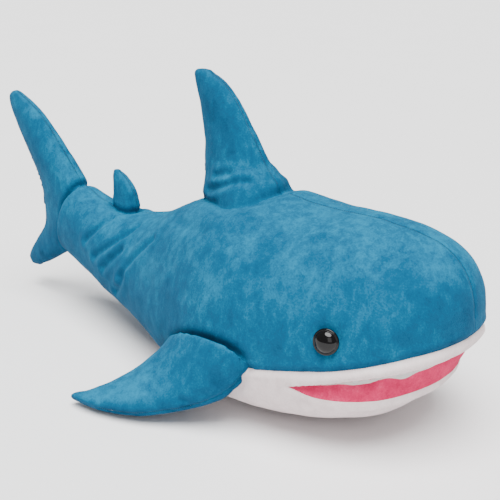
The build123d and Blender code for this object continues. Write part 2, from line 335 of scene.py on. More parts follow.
# %% Plump the body between its seams
EDGE_PIN = 5  # millimetres on each side of a seam that don't move
MIDDLE_PIN = 4
MOUTH_PIN = 3
FLOOR_PIN = 2.5
at = points_of(body) / MM
x, y, z = at.T
near_edge = (np.abs(z - belly_edge(x)) < EDGE_PIN) & (x > -45)
near_middle = (np.abs(y) < MIDDLE_PIN) & (z > 120)
in_mouth = ((x > MOUTH_CORNER_X) & (z < mouth_upper(x) + MOUTH_PIN)
            & (z > mouth_lower(x) - MOUTH_PIN))
on_floor = z < FLOOR_PIN
stuff(body, near_edge | near_middle | in_mouth | on_floor, pressure=3.0, cap=5 * MM)
body_filling = body.copy()
body_filling.data = body.data.copy()
body_filling.name = "body_filling"
scene.collection.objects.link(body_filling)
finer(body)
print("body after stuffing:", len(body.data.polygons), "faces")

# %% [markdown]
# A fin is a flat bag: a full front edge that thins to the trailing edge, like the section of a
# wing. Each fin gets a few stations from its root to its tip, and the root reaches into the body,
# where it is hidden. Modelling the wing section as one formula keeps both faces alike.

# %% Sections of a fin
FIN_RING_POINTS = 72
SIDEWAYS = (0, 1, 0)
ROUND_TIP = np.linspace(0.15, 1, 7)  # shares of a quarter turn over which the tip closes


def fin_rings(stations, rows, thick_way):
    """Rings of a fin. A station is lead point, trail point, half thickness and front weight."""
    table = through([(*lead, *trail, half, weight) for lead, trail, half, weight in stations], rows)
    step = (table[-1] - table[-2])[:6]
    step = (step[:3] + step[3:]) / 2
    step = step / np.linalg.norm(step)
    reach = table[-1][6]
    rings = [fin_ring(row, 1.0, 0.0, thick_way) for row in table]
    for part in ROUND_TIP:
        size = max(math.cos(part * math.pi / 2), 0.05)
        shift = step * reach * math.sin(part * math.pi / 2)
        rings.append(fin_ring(table[-1], size, shift, thick_way))
    return np.array(rings) * MM


def fin_ring(row, size, shift, thick_way):
    """One closed wing section between a lead point and a trail point."""
    turn = np.arange(FIN_RING_POINTS) * 2 * math.pi / FIN_RING_POINTS
    along = (1 - np.cos(turn)) / 2
    lead, trail, half, weight = row[:3], row[3:6], row[6], max(row[7], 0)
    middle = (lead + trail) / 2
    lead = middle + (lead - middle) * size + shift
    trail = middle + (trail - middle) * size + shift
    fullest = 0.5 / (1 + weight)
    norm = 2 * math.sqrt(fullest * (1 - fullest)) * (1 - fullest) ** weight
    thick = half * size * np.sin(turn) * (1 - along) ** weight / norm
    return lead + along[:, None] * (trail - lead) + thick[:, None] * np.asarray(thick_way, float)


DORSAL_STATIONS = [
    ((196, 0, 258), (12, 0, 232), 78, 0.7),
    ((181, 0, 280), (13, 0, 254), 66, 0.7),
    ((165, 0, 300), (15, 0, 274), 50, 0.6),
    ((150, 0, 319), (18, 0, 294), 37, 0.45),
    ((136, 0, 337), (20, 0, 314), 31, 0.35),
    ((113, 0, 374), (21, 0, 352), 24, 0.3),
    ((88, 0, 412), (13, 0, 400), 18, 0.25),
    ((64, 0, 436), (6, 0, 428), 13, 0.2),
    ((38, 0, 450), (2, 0, 445), 8.5, 0.1),
]
SECOND_DORSAL_STATIONS = [
    ((-134, 0, 196), (-204, 0, 192), 17, 0.4),
    ((-138, 0, 216), (-200, 0, 210), 14.5, 0.3),
    ((-142, 0, 236), (-197, 0, 230), 12.5, 0.25),
    ((-153, 0, 251), (-195, 0, 246), 10.5, 0.2),
    ((-166, 0, 262), (-194, 0, 258), 8, 0.1),
    ((-176, 0, 267), (-193, 0, 264), 5.5, 0.0),
]
TAIL_FIN_STATIONS = [
    ((-450, 0, 374), (-466, 0, 373), 6, 0.0),
    ((-425, 0, 362), (-477, 0, 362), 11, 0.05),
    ((-386, 0, 338), (-472, 0, 338), 17, 0.2),
    ((-342, 0, 298), (-451, 0, 298), 22, 0.3),
    ((-309, 0, 262), (-430, 0, 262), 25, 0.4),
    ((-280, 0, 230), (-412, 0, 230), 26, 0.45),
    ((-274, 0, 198), (-399, 0, 198), 26, 0.45),
    ((-284, 0, 165), (-396, 0, 165), 25, 0.45),
    ((-298, 0, 132), (-399, 0, 132), 23, 0.4),
    ((-326, 0, 98), (-427, 0, 98), 19, 0.3),
    ((-364, 0, 74), (-446, 0, 74), 16, 0.2),
    ((-398, 0, 55), (-456, 0, 55), 11, 0.1),
    ((-418, 0, 46), (-450, 0, 46), 7, 0.0),
]
print("stations:", len(DORSAL_STATIONS), len(SECOND_DORSAL_STATIONS), len(TAIL_FIN_STATIONS))

# %% [markdown]
# The pectoral fins leave the body low down and droop to the floor, so their slices step outwards
# and down along one direction, and each slice is thick across another. The right fin is the left
# one mirrored, with its faces turned back to the outside.

# %% Sections of a pectoral fin
PECTORAL_STEP = np.array([0.0, 0.8, -0.6])
PECTORAL_RISE = np.array([0.0, 0.6, 0.8])
# Step outwards, then x and rise of the lead and trail points, half thickness, front weight.
PECTORAL_SLICES = [
    (62, (252, 176), (90, 166), 42, 0.25),
    (80, (241, 168), (83, 161), 40, 0.25),
    (98, (224, 160), (70, 155), 37, 0.25),
    (116, (203, 152), (56, 150), 33, 0.25),
    (134, (180, 150), (44, 149), 28.5, 0.2),
    (152, (156, 151), (32, 151), 25, 0.15),
    (168, (132, 154), (21, 155), 22, 0.1),
    (181, (108, 157), (10, 158), 19, 0.1),
    (191, (82, 161), (0, 162), 15.5, 0.05),
    (198, (54, 164), (-5, 165), 12, 0.0),
]


def pectoral_stations():
    """The pectoral slices as lead point, trail point, half thickness and front weight."""
    stations = []
    for step, (lead_x, lead_rise), (trail_x, trail_rise), half, weight in PECTORAL_SLICES:
        foot = PECTORAL_STEP * step
        lead = foot + PECTORAL_RISE * lead_rise + (lead_x, 0, 0)
        trail = foot + PECTORAL_RISE * trail_rise + (trail_x, 0, 0)
        stations.append((lead, trail, half, weight))
    return stations


print("pectoral stations:", len(pectoral_stations()))

# %% [markdown]
# The four different fins can now be made from their stations, each as one even closed skin. A
# pectoral fin is pressed flat where it meets the floor, as the real one is by its own weight.

# %% Skins of the fins
FIN_GRID = 0.004  # finer than on the body, because the fins are thin


def fin_skin(name, stations, rows, thick_way):
    """Even closed skin of a fin, laid on the floor where it would pass through it."""
    fin = even_grid(skin(name, fin_rings(stations, rows, thick_way)), FIN_GRID)
    at = points_of(fin)
    at[:, 2] = np.maximum(at[:, 2], FLOOR_GAP * MM)
    put_points(fin, at)
    print(name, len(fin.data.polygons), "faces")
    return fin


dorsal = fin_skin("dorsal_fin_velvet", DORSAL_STATIONS, 60, SIDEWAYS)
second_dorsal = fin_skin("second_dorsal_fin_velvet", SECOND_DORSAL_STATIONS, 30, SIDEWAYS)
tail_fin = fin_skin("tail_fin_velvet", TAIL_FIN_STATIONS, 90, SIDEWAYS)
pectoral = fin_skin("pectoral_fin_left_velvet", pectoral_stations(), 60, PECTORAL_RISE)

# %% [markdown]
# A seam pulls the velvet in along a line and the stuffing swells beside it. That is a groove with a
# soft ridge on each side, so one formula on the distance to the seam makes every seam and every
# crease. It is done on the mesh itself rather than as bump, so that the outline shows it too.

# %% Grooves, ridges and soft lumps
FLOOR_FADE = (1.5, 12)  # millimetres of height over which the flat underside is left alone
REACH = 60.0  # millimetres within which a neighbouring skin is looked for


def groove(distance, depth, width, ridge=0.35):
    """Move along the normal, in millimetres: in at the line and out beside it."""
    inwards = np.exp(-(distance / width) ** 2)
    beside = np.exp(-((distance - 2.3 * width) / (1.3 * width)) ** 2)
    return depth * (ridge * beside - inwards)


def lumps(points, size, seed):
    """Soft uneven swelling between -1 and 1, of the given size in millimetres."""
    offset = Vector((seed * 17.3, seed * 5.1, seed * 9.7))
    return np.array([noise.noise(Vector(p) / size + offset) for p in points])


def move_out(piece, amount):
    """Move each point along its normal by an amount in millimetres."""
    put_points(piece, points_of(piece) + normals_of(piece) * amount[:, None] * MM)


def surface_distance(piece, other):
    """Distance in millimetres from each point of a piece to the skin of another."""
    tree = BVHTree.FromObject(other, bpy.context.evaluated_depsgraph_get())
    found = [tree.find_nearest(Vector(p), REACH * MM) for p in points_of(piece)]
    return np.array([REACH if hit[3] is None else hit[3] / MM for hit in found])


print("a groove 1 mm deep has ridges of", round(float(groove(2.3, 1.0, 1.0)), 2), "mm")

# %% [markdown]
# The stock is stuffed more loosely than the trunk, so slack velvet gathers there in slanting
# creases, and one fold runs over the shoulder. Each crease is a short chain of points on the skin.
# They are repeated on the other side with a small shift, because no two sides crease alike.

# %% Creases in the velvet
STOCK_CREASES = [
    [(-175, -66, 134), (-134, -66, 163), (-106, -56, 186), (-91, -44, 200)],
    [(-91, -85, 124), (-65, -85, 155), (-44, -81, 178), (-21, -77, 201)],
    [(-114, -78, 91), (-91, -85, 109), (-78, -87, 128)],
    [(-207, -57, 153), (-181, -51, 178), (-163, -34, 197)],
    [(-148, -72, 121), (-121, -74, 145), (-102, -72, 163)],
]
SHOULDER_FOLD = [(2, -56, 235), (60, -86, 241), (107, -103, 245)]
OTHER_SIDE_SHIFT = (9, 0, 4)
CREASE_POINTS = 12


def on_both_sides(line):
    """A crease, and its slightly shifted copy on the left side."""
    line = np.asarray(line, float)
    return [line, line * (1, -1, 1) + OTHER_SIDE_SHIFT]


def creased(at, lines, **sizes):
    """Move along the normal that creases the skin along chains of points."""
    return sum(groove(gap_to(at, through(line, CREASE_POINTS)), **sizes) for line in lines)


at = points_of(body) / MM
change = np.zeros(len(at))
for crease in STOCK_CREASES:
    change += creased(at, on_both_sides(crease), depth=3.4, width=5.5, ridge=0.5)
change += creased(at, on_both_sides(SHOULDER_FOLD), depth=1.8, width=9, ridge=0.4)
change += 1.6 * lumps(at, 62, 1) + 0.7 * lumps(at, 24, 2)
print("creases and lumps from", round(float(change.min()), 1), "to",
      round(float(change.max()), 1), "mm")

# %% [markdown]
# The belly seam and the middle seam pull the velvet in all along the body, and each eye is drawn
# in by its stem, which leaves a dimple with a soft ring of stuffing round it. A seam stops where it
# ends on the shark: its distance is simply made too large for a groove beyond that place.

# %% Seam grooves and eye dimples
EYE_CENTRE = np.array([354.0, 138.5, 165.0])
TOO_FAR = 40  # millimetres, more than any groove reaches
x, y, z = at.T
change += groove(np.abs(z - belly_edge(x)) + TOO_FAR * (x < -50), depth=2.4, width=3.6)
change += groove(np.abs(y) + TOO_FAR * (z < 185), depth=1.3, width=3.0)
for side in (1, -1):
    eye_gap = np.linalg.norm(at - EYE_CENTRE * (1, side, 1), axis=1)
    change -= 3.0 * np.exp(-(eye_gap / 20) ** 2)
    change += 1.0 * np.exp(-((eye_gap - 34) / 12) ** 2)
move_out(body, change * smoothstep(*FLOOR_FADE, z))
print("body grooves from", round(float(change.min()), 1), "to", round(float(change.max()), 1), "mm")

# %% [markdown]
# The mouth is the shark's smile. The pink lining sits back under the white upper lip, comes forward
# towards the lower lip, and has a few soft wrinkles. The lower lip itself is a little fuller.

# %% Lips and the mouth between them
LOWER_LIP_HEIGHT = 24
MOUTH_DEPTH = 10.5  # how far the lining is sunk under the upper lip
LINING_DEPTH = 2.0  # and how far it is sunk everywhere
UPPER_LIP_SWELL, LOWER_LIP_SWELL = 2.8, 3.2
at = points_of(body) / MM
x, y, z = at.T
upper, lower = mouth_upper(x), mouth_lower(x)
opening = np.maximum(upper - lower, 1)
from_upper = upper - z
inside = smoothstep(0, 3, from_upper) * smoothstep(0, 3, z - lower) * (x > MOUTH_CORNER_X)
share = np.clip(from_upper / opening, 0, 1)
sunk = MOUTH_DEPTH * (1 - share) ** 1.1 + LINING_DEPTH
wrinkle = 0.9 * np.sin((x + 0.6 * np.abs(y)) / 9) * lumps(at * (0.6, 0.6, 2.2), 20, 5)
lips = smoothstep(290, 340, x)
change = -inside * sunk + inside * wrinkle
change += LOWER_LIP_SWELL * np.exp(-((lower - 9 - z) / 8) ** 2) * lips
change += UPPER_LIP_SWELL * np.exp(-((z - upper - 6) / 6) ** 2) * lips
change -= 1.6 * np.exp(-((z - lower) / 2.2) ** 2) * (x > MOUTH_CORNER_X - 4)
chin_fold = lower - LOWER_LIP_HEIGHT + 0.05 * (x - 400)
change += groove(np.abs(z - chin_fold), depth=3.2, width=6.0, ridge=0.5) * smoothstep(330, 400, x)
move_out(body, change * smoothstep(*FLOOR_FADE, z))
print("mouth sunk by up to", round(float(-change.min()), 1), "mm")

# %% [markdown]
# The fins are stuffed the same way as the body. Each is two panels sewn together down its front and
# its back edge, so those two lines are pinned while the cloth runs and get a groove afterwards.

# %% Stuff the fins
SEAM_PIN = 3  # millimetres from a fin's seam that don't move


def outline(stations, count):
    """Lines down the front and the back of a fin, in millimetres."""
    return (through([lead for lead, trail, half, weight in stations], count),
            through([trail for lead, trail, half, weight in stations], count))


def finish_fin(fin, stations, seed, pressure, cap):
    """Plump a fin between its outline seams and groove those seams."""
    front, back = outline(stations, 60)
    at = points_of(fin) / MM
    near_seam = (gap_to(at, front) < SEAM_PIN) | (gap_to(at, back) < SEAM_PIN)
    stuff(fin, near_seam | (at[:, 2] < 1.5), pressure=pressure, cap=cap * MM)
    finer(fin)
    at = points_of(fin) / MM
    change = 0.9 * lumps(at, 34, seed) + 0.4 * lumps(at, 14, seed + 1)
    change += groove(gap_to(at, front), depth=1.7, width=3.0, ridge=0.4)
    change += groove(gap_to(at, back), depth=1.2, width=3.0, ridge=0.3)
    move_out(fin, change * smoothstep(0.5, 8, at[:, 2]))


finish_fin(dorsal, DORSAL_STATIONS, seed=11, pressure=3.0, cap=3.0)
finish_fin(second_dorsal, SECOND_DORSAL_STATIONS, seed=21, pressure=2.0, cap=2.0)
finish_fin(tail_fin, TAIL_FIN_STATIONS, seed=31, pressure=3.0, cap=3.0)
finish_fin(pectoral, pectoral_stations(), seed=41, pressure=3.0, cap=3.0)
for fin in (dorsal, second_dorsal, tail_fin, pectoral):
    print(fin.name, "stuffed:", len(fin.data.polygons), "faces")

# %% [markdown]
# A fin leans on the body with its full weight, so its velvet gathers in a few folds just above the
# joint. They are made like the creases of the stock. The left pectoral fin is then mirrored, which
# saves a second cloth run and keeps the two fins a pair.

# %% Folds in the fins near the body
DORSAL_FOLDS = [
    [(50, -28, 282), (66, -34, 286), (99, -40, 297), (134, -34, 308)],
    [(74, -28, 306), (102, -32, 313)],
]
PECTORAL_FOLDS = [
    [(196, 186, 60), (168, 190, 62), (140, 186, 66)],
    [(176, 206, 44), (150, 204, 50)],
    [(120, 182, 66), (96, 186, 60)],
]
dorsal_lines = [line for fold in DORSAL_FOLDS for line in on_both_sides(fold)]
at = points_of(dorsal) / MM
move_out(dorsal, creased(at, dorsal_lines, depth=3.4, width=5.0, ridge=0.6))
at = points_of(pectoral) / MM
move_out(pectoral, creased(at, PECTORAL_FOLDS, depth=2.2, width=5.0, ridge=0.5))


def mirrored(piece, name):
    """Copy of a piece on the shark's other side."""
    mesh = piece.data.copy()
    mesh.transform(Matrix.Scale(-1, 4, (0, 1, 0)))
    outwards(mesh)
    other = bpy.data.objects.new(name, mesh)
    mesh.name = name
    scene.collection.objects.link(other)
    return other


pectoral_right = mirrored(pectoral, "pectoral_fin_right_velvet")
print("folds:", len(dorsal_lines) + 2 * len(PECTORAL_FOLDS))

# %% [markdown]
# Each fin is sewn to the body, and the thread draws both skins in along the joint. The line where
# they meet isn't worked out: each point just asks how far the other skin is, and the same groove
# formula does the rest.

# %% Pull both skins in along each joint
SEWN_IN = 3.2
for fin in (dorsal, second_dorsal, pectoral, pectoral_right, tail_fin):
    body_pull = groove(surface_distance(body, fin), depth=SEWN_IN, width=6.0, ridge=0.35)
    fin_pull = groove(surface_distance(fin, body), depth=SEWN_IN, width=5.0, ridge=0.3)
    for piece, pull in ((body, body_pull), (fin, fin_pull)):
        move_out(piece, pull * smoothstep(*FLOOR_FADE, points_of(piece)[:, 2] / MM))
    print(fin.name, "sewn in")

# %% [markdown]
# Now the skins are cut into the panels a sewer would cut. The cut follows each edge exactly: the
# mesh is slid up or down until the edge is level, sliced at that level and slid back. Each panel is
# given the thickness of velvet towards the inside, which closes it.

# %% Cut a skin into panels
VELVET_THICK = 1.8 * MM


def cut_level(work, height_at):
    """Slice the mesh where its height crosses height_at, given in millimetres."""
    for point in work.verts:
        point.co.z -= float(height_at(point.co.x / MM)) * MM
    everything = work.verts[:] + work.edges[:] + work.faces[:]
    bmesh.ops.bisect_plane(work, geom=everything, dist=1e-6, plane_co=(0, 0, 0), plane_no=(0, 0, 1))
    for point in work.verts:
        point.co.z += float(height_at(point.co.x / MM)) * MM


def cut_middle(work):
    """Slice the mesh down the shark's middle plane."""
    everything = work.verts[:] + work.edges[:] + work.faces[:]
    bmesh.ops.bisect_plane(work, geom=everything, dist=1e-6, plane_co=(0, 0, 0), plane_no=(0, 1, 0))


def face_centres(work):
    """Middle points of all faces, in millimetres."""
    return np.array([face.calc_center_median() for face in work.faces]) / MM


def panels(piece, work, labels, names):
    """One closed velvet panel for each label, cut from the same skin."""
    made = {}
    for label, name in enumerate(names):
        part = work.copy()
        part.faces.ensure_lookup_table()
        drop = [face for face, mine in zip(part.faces, labels) if mine != label]
        bmesh.ops.delete(part, geom=drop, context="FACES")
        mesh = bpy.data.meshes.new(name)
        part.to_mesh(mesh)
        part.free()
        panel = bpy.data.objects.new(name, mesh)
        scene.collection.objects.link(panel)
        thick = panel.modifiers.new("velvet", "SOLIDIFY")
        thick.thickness = VELVET_THICK
        thick.offset = -1
        baked(panel)
        panel.data.shade_smooth()
        made[name] = panel
        print(name, len(panel.data.polygons), "faces")
    work.free()
    bpy.data.objects.remove(piece)
    return made


print("velvet:", VELVET_THICK / MM, "mm thick")

# %% [markdown]
# The body is four panels: two blue halves that meet on the back, one white belly that runs forward
# as the lips, and the pink lining between them. The cut skin is kept a moment longer than the
# panels, because the stitches are placed from it.

# %% The body's four panels
LEFT_BACK, RIGHT_BACK, BELLY, MOUTH = range(4)
BODY_PANELS = ["back_velvet_left", "back_velvet_right", "belly_velvet", "mouth_velvet"]
work = bmesh.new()
work.from_mesh(body.data)
cut_level(work, belly_edge)
cut_level(work, mouth_upper)
cut_level(work, mouth_lower)
cut_middle(work)
x, y, z = face_centres(work).T
white = (z < belly_edge(x)) & (x > -60)
pink = white & (x > MOUTH_CORNER_X) & (z < mouth_upper(x)) & (z > mouth_lower(x))
blue = np.where(y > 0, LEFT_BACK, RIGHT_BACK)
body_labels = np.where(pink, MOUTH, np.where(white, BELLY, blue))
seam_source = work.copy()
body_panels = panels(body, work, body_labels, BODY_PANELS)
print("body panels:", len(body_panels))

# %% [markdown]
# Every fin is two panels, sewn face to face and turned out. The upright fins are cut by the shark's
# middle plane. A pectoral fin is bent, so it is cut by the sheet through the middle of its slices.

# %% Panels of the fins
def fin_panels(fin, prefix, names, first_side):
    """Two panels of a fin, cut where first_side changes sign along the outline seam."""
    work = bmesh.new()
    work.from_mesh(fin.data)
    if first_side is None:
        cut_middle(work)
        labels = np.where(face_centres(work)[:, 1] > 0, 0, 1)
    else:
        labels = np.where(first_side(face_centres(work)) > 0, 0, 1)
    return panels(fin, work, labels, [f"{prefix}_{name}" for name in names])


def above_pectoral_seam(side):
    """Height above the bent sheet through the middle of a pectoral fin."""
    middles = np.array([(lead + trail) / 2 for lead, trail, half, weight in pectoral_stations()])
    out = middles @ PECTORAL_STEP
    rise = middles @ PECTORAL_RISE

    def height(at):
        at = at * (1, side, 1)
        return at @ PECTORAL_RISE - np.interp(at @ PECTORAL_STEP, out, rise)
    return height


fin_velvets = {}
for fin in (dorsal, second_dorsal, tail_fin):
    fin_velvets.update(fin_panels(fin, fin.name, ("left", "right"), None))
for fin, side in ((pectoral, 1), (pectoral_right, -1)):
    fin_velvets.update(fin_panels(fin, fin.name, ("upper", "lower"), above_pectoral_seam(side)))
print("fin panels:", len(fin_velvets))

# %% [markdown]
# The loose fibre inside is never seen on a whole shark, but it is a real piece. It is the plumped
# skin before its seams were made, drawn in by a few millimetres and made lumpy.

# %% Fibre fillings
FILLING_INSET = 9.0
FILLING_GRID = 0.005
THINNEST_FILLING = 1.5

move_out(body_filling, -FILLING_INSET + 1.2 * lumps(points_of(body_filling) / MM, 30, 7))
body_filling.data.shade_smooth()


def fin_filling(fin, stations, thick_way, inset):
    """Filling of a fin, from thinner sections of the same stations."""
    thin = []
    for lead, trail, half, weight in stations:
        lead, trail = np.asarray(lead, float), np.asarray(trail, float)
        chord = trail - lead
        pull = chord * inset / np.linalg.norm(chord)
        thin.append((lead + pull, trail - pull, max(half - inset, THINNEST_FILLING), weight))
    form = even_grid(skin(f"{fin}_fibre", fin_rings(thin[:-1], 40, thick_way)), FILLING_GRID)
    form.data.shade_smooth()
    return form


# Fin, its stations beyond the root, the way it is thick, and the inset in millimetres.
FILLED_FINS = [
    ("dorsal_fin", DORSAL_STATIONS[2:], SIDEWAYS, 5.5),
    ("second_dorsal_fin", SECOND_DORSAL_STATIONS[1:], SIDEWAYS, 4),
    ("tail_fin", TAIL_FIN_STATIONS[1:], SIDEWAYS, 6),
    ("pectoral_fin_left", pectoral_stations()[2:], PECTORAL_RISE, 6),
]
fin_fillings = {row[0]: fin_filling(*row) for row in FILLED_FINS}
left_filling = fin_fillings["pectoral_fin_left"]
fin_fillings["pectoral_fin_right"] = mirrored(left_filling, "pectoral_fin_right_fibre")
fin_fillings["pectoral_fin_right"].data.shade_smooth()
print("fillings:", 1 + len(fin_fillings))

# %% [markdown]
# A toy eye is one moulded button: a polished dome, a narrow step round it, and a stem that goes
# through the velvet. Its profile is turned about the stem, as on a lathe.

# %% Eyes turned on a lathe
# Radius and height over the velvet, in millimetres: dome, step, rim, underside and stem.
EYE_PROFILE = [(3.5, 9.8), (7.0, 9.0), (10.0, 7.6), (12.4, 5.8), (13.6, 4.4), (14.0, 3.6),
               (14.3, 3.3), (14.9, 3.3), (15.6, 3.4), (16.4, 3.0), (16.9, 2.2), (17.0, 1.2),
               (16.8, 0.2), (15.5, -0.6), (3.2, -0.7), (3.0, -1.2), (3.0, -18.5), (2.2, -19.6)]
EYE_SEGMENTS = 64
EYE_WAY = np.array([0.29, 0.93, 0.21])


def eye_button(name, side):
    """Closed eye button, standing on the skin along the eye's own direction."""
    normal = Vector(EYE_WAY * (1, side, 1)).normalized()
    turn = Vector((0, 0, 1)).rotation_difference(normal).to_matrix()
    centre = EYE_CENTRE * (1, side, 1)
    rings = []
    for radius, height in EYE_PROFILE:
        ring = []
        for step in range(EYE_SEGMENTS):
            angle = 2 * math.pi * step / EYE_SEGMENTS
            local = Vector((radius * math.cos(angle), radius * math.sin(angle), height))
            ring.append(np.array(turn @ local) + centre)
        rings.append(ring)
    button = skin(name, np.array(rings) * MM)
    button.data.shade_smooth()
    return button


eyes = {"left": eye_button("eye_button_left", 1), "right": eye_button("eye_button_right", -1)}
print("eyes:", len(eyes))

# %% [markdown]
# Thread shows as short stitches that sit in the seam grooves. A row of stitches is a repeat along a
# path, which is what Geometry Nodes are for: the tree spaces points along the seam, sets one small
# stitch on each, turned along the seam, and gives it a little uneven turn from a fixed seed.

# %% Geometry Nodes: stitches along a seam
PITCH = 3.2 * MM
STITCH_SIZES = {"Pitch": PITCH, "Stitch Length": 0.7 * PITCH, "Thread Radius": 0.28 * MM,
                "Uneven Turn": 0.08}
STITCH_SEED = 4


def stitch_tree():
    """Node group that sets stitches along the curves it is given."""
    tree = bpy.data.node_groups.new("stitches_along_seam", "GeometryNodeTree")
    face = tree.interface
    face.new_socket("Seam", in_out="INPUT", socket_type="NodeSocketGeometry")
    for name, value in STITCH_SIZES.items():
        face.new_socket(name, in_out="INPUT", socket_type="NodeSocketFloat").default_value = value
    seed = face.new_socket("Seed", in_out="INPUT", socket_type="NodeSocketInt")
    seed.default_value = STITCH_SEED
    face.new_socket("Thread", in_out="INPUT", socket_type="NodeSocketMaterial")
    face.new_socket("Stitches", in_out="OUTPUT", socket_type="NodeSocketGeometry")
    add, link = tree.nodes.new, tree.links.new
    given, out = add("NodeGroupInput"), add("NodeGroupOutput")

    spaced = add("GeometryNodeResampleCurve")
    spaced.mode = "LENGTH"
    link(given.outputs["Seam"], spaced.inputs["Curve"])
    link(given.outputs["Pitch"], spaced.inputs["Length"])
    stitch = add("GeometryNodeMeshCylinder")
    stitch.inputs["Vertices"].default_value = 6
    link(given.outputs["Thread Radius"], stitch.inputs["Radius"])
    link(given.outputs["Stitch Length"], stitch.inputs["Depth"])
    along = add("GeometryNodeInputTangent")
    turned = add("FunctionNodeAlignRotationToVector")
    turned.axis = "Z"
    link(along.outputs["Tangent"], turned.inputs["Vector"])
    low = add("ShaderNodeMath")
    low.operation = "MULTIPLY"
    low.inputs[1].default_value = -1
    link(given.outputs["Uneven Turn"], low.inputs[0])
    uneven = add("FunctionNodeRandomValue")
    uneven.data_type = "FLOAT"
    link(low.outputs[0], uneven.inputs[2])
    link(given.outputs["Uneven Turn"], uneven.inputs[3])
    link(given.outputs["Seed"], uneven.inputs["Seed"])
    wobble = add("FunctionNodeAxisAngleToRotation")
    wobble.inputs["Axis"].default_value = (1, 0, 0)
    link(uneven.outputs[1], wobble.inputs["Angle"])
    both = add("FunctionNodeRotateRotation")
    both.rotation_space = "LOCAL"
    link(turned.outputs[0], both.inputs["Rotation"])
    link(wobble.outputs[0], both.inputs["Rotate By"])
    placed = add("GeometryNodeInstanceOnPoints")
    link(spaced.outputs["Curve"], placed.inputs["Points"])
    link(stitch.outputs["Mesh"], placed.inputs["Instance"])
    link(both.outputs[0], placed.inputs["Rotation"])
    real = add("GeometryNodeRealizeInstances")
    link(placed.outputs["Instances"], real.inputs["Geometry"])
    dyed = add("GeometryNodeSetMaterial")
    link(real.outputs["Geometry"], dyed.inputs["Geometry"])
    link(given.outputs["Thread"], dyed.inputs["Material"])
    link(dyed.outputs["Geometry"], out.inputs["Stitches"])
    return tree


STITCH_TREE = stitch_tree()
print("stitch tree:", len(STITCH_TREE.nodes), "nodes")

# %% [markdown]
# The tree needs a curve to run along, so each seam is given to it as a chain of straight runs. Its
# sizes are set by each input's identifier, since Blender doesn't look modifier inputs up by name,
# and what it makes is kept as a plain mesh that can bend with the body.

# %% Run stitches along chains of points
def stitches(name, chains, thread):
    """One plain mesh of stitches along chains of points, in metres."""
    path = bpy.data.curves.new(name + "_path", "CURVE")
    path.dimensions = "3D"
    for chain in chains:
        spline = path.splines.new("POLY")
        spline.points.add(len(chain) - 1)
        flat = np.column_stack([chain, np.ones(len(chain))])
        spline.points.foreach_set("co", flat.ravel())
    seam = bpy.data.objects.new(name, path)
    scene.collection.objects.link(seam)
    nodes = seam.modifiers.new("stitches", "NODES")
    nodes.node_group = STITCH_TREE
    inputs = {item.name: item.identifier for item in STITCH_TREE.interface.items_tree
              if item.in_out == "INPUT"}
    for size, value in STITCH_SIZES.items():
        nodes[inputs[size]] = value
    nodes[inputs["Seed"]] = STITCH_SEED
    nodes[inputs["Thread"]] = thread
    seen = seam.evaluated_get(bpy.context.evaluated_depsgraph_get())
    mesh = bpy.data.meshes.new_from_object(seen)
    row = bpy.data.objects.new(name + "_row", mesh)
    scene.collection.objects.link(row)
    bpy.data.objects.remove(seam)
    row.name = name
    row.data.name = name
    row.data.shade_smooth()
    print(name, len(mesh.polygons), "faces")
    return row


print("stitch pitch:", STITCH_SIZES["Pitch"] / MM, "mm")

# %% [markdown]
# The seams are read back from the cut skin: an edge whose two faces went to different panels lies
# on a seam. That keeps the thread in its groove however the velvet was plumped.

# %% Find the seams on the cut skin
def seam_points(work, labels, pair, keep):
    """Points, in metres, on edges between a pair of panels, kept where keep(x, y, z) is true."""
    work.faces.ensure_lookup_table()
    work.faces.index_update()
    found = set()
    for edge in work.edges:
        if len(edge.link_faces) == 2:
            one, two = (labels[face.index] for face in edge.link_faces)
            if {int(one), int(two)} == pair:
                found.update(tuple(point.co) for point in edge.verts)
    points = np.array(sorted(found))
    return points[keep(*(points / MM).T)]


def forward_chain(points):
    """Every fourth point of a seam, from the tail forwards."""
    return points[np.argsort(points[:, 0])][::4]


edge_left, edge_right = (
    seam_points(seam_source, body_labels, {back, BELLY}, lambda x, y, z: x > -40)
    for back in (LEFT_BACK, RIGHT_BACK))
ridge = seam_points(seam_source, body_labels, {LEFT_BACK, RIGHT_BACK},
                    lambda x, y, z: (z > 200) | (x < -100))
seam_source.free()
ridge_mm = ridge / MM
head_ridge = ridge[(ridge_mm[:, 0] > 176) & (ridge_mm[:, 2] > 200)]
stock_ridge = ridge[(ridge_mm[:, 0] < 8) & (ridge_mm[:, 0] > -290) & (ridge_mm[:, 2] > 180)]
print("seam points:", len(edge_left), len(edge_right), len(head_ridge), len(stock_ridge))

# %% [markdown]
# Materials are sums of patterns. Written as nodes by hand they turn into long lists of links, so a
# small class wraps an output and lets it be added and multiplied like a number. Only what changes
# over the surface goes through nodes; sheen and the like are single numbers on the shader itself.

# %% Shader outputs that work in sums
def linear(red, green, blue):
    """Shader colour from the everyday 0 to 255 numbers."""
    def one(value):
        value = value / 255
        return value / 12.92 if value <= 0.04045 else ((value + 0.055) / 1.055) ** 2.4
    return (one(red), one(green), one(blue), 1.0)


class Value:
    """One output of a shader node, which can be used in sums."""

    def __init__(self, finish, socket):
        self.finish = finish
        self.socket = socket

    def sum_of(self, operation, one, two):
        return self.finish.node("ShaderNodeMath", {"operation": operation}, {0: one, 1: two})

    def __add__(self, other):
        return self.sum_of("ADD", self, other)

    __radd__ = __add__

    def __sub__(self, other):
        return self.sum_of("SUBTRACT", self, other)

    def __rsub__(self, other):
        return self.sum_of("SUBTRACT", other, self)

    def __mul__(self, other):
        return self.sum_of("MULTIPLY", self, other)

    __rmul__ = __mul__


print("mid grey as a shader colour:", [round(part, 3) for part in linear(128, 128, 128)])

